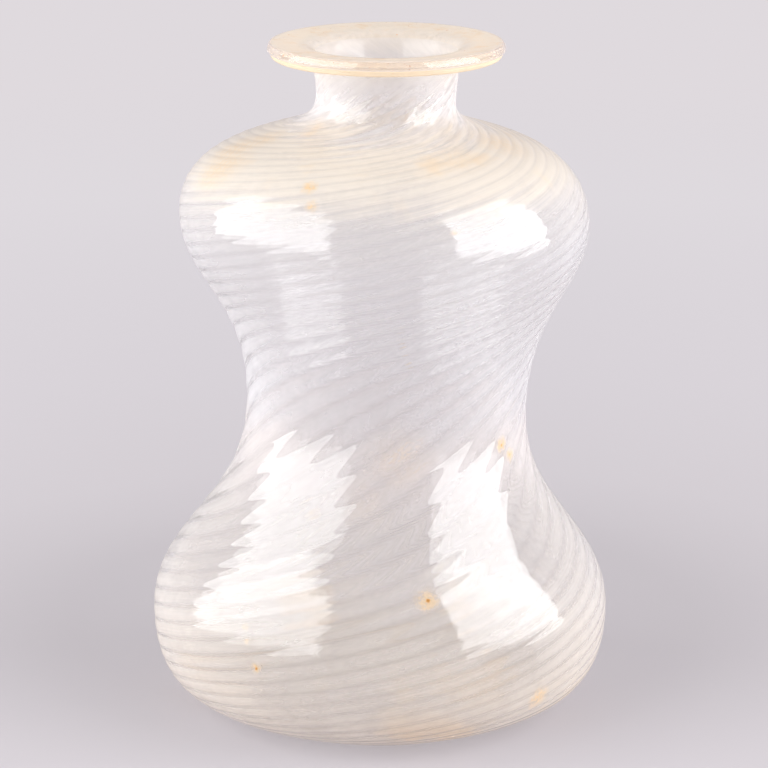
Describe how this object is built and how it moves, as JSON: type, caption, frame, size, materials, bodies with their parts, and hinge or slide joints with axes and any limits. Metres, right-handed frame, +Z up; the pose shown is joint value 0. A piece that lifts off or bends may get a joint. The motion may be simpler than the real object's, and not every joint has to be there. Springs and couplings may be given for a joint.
{
  "type": "glass bottle",
  "caption": "Free-blown glass bottle: two bulbs with a drawn-in waist, ribs twisted to the right, a short neck and a wide rim folded under.",
  "frame": {"origin": "centre of the foot, on the surface that the bottle stands on", "axes": "+Z up along the bottle towards its mouth; +X to the right and -Y towards the viewer of the picture"},
  "size_m": [0.1328, 0.1328, 0.196],
  "materials": {
    "clear_glass": "clear, nearly colourless, fire-polished over soft twisted ribs, with a thin cream film of weathering",
    "weathered_glass": "clear under an ochre film of soil and weathering",
    "broken_glass": "rough where the iron rod was broken away"
  },
  "bodies": {
    "root": {"lower_bulb": "clear_glass", "upper_bulb": "clear_glass", "neck": "clear_glass", "rim": "weathered_glass", "pontil_scar": "broken_glass"}
  },
  "joints": []
}
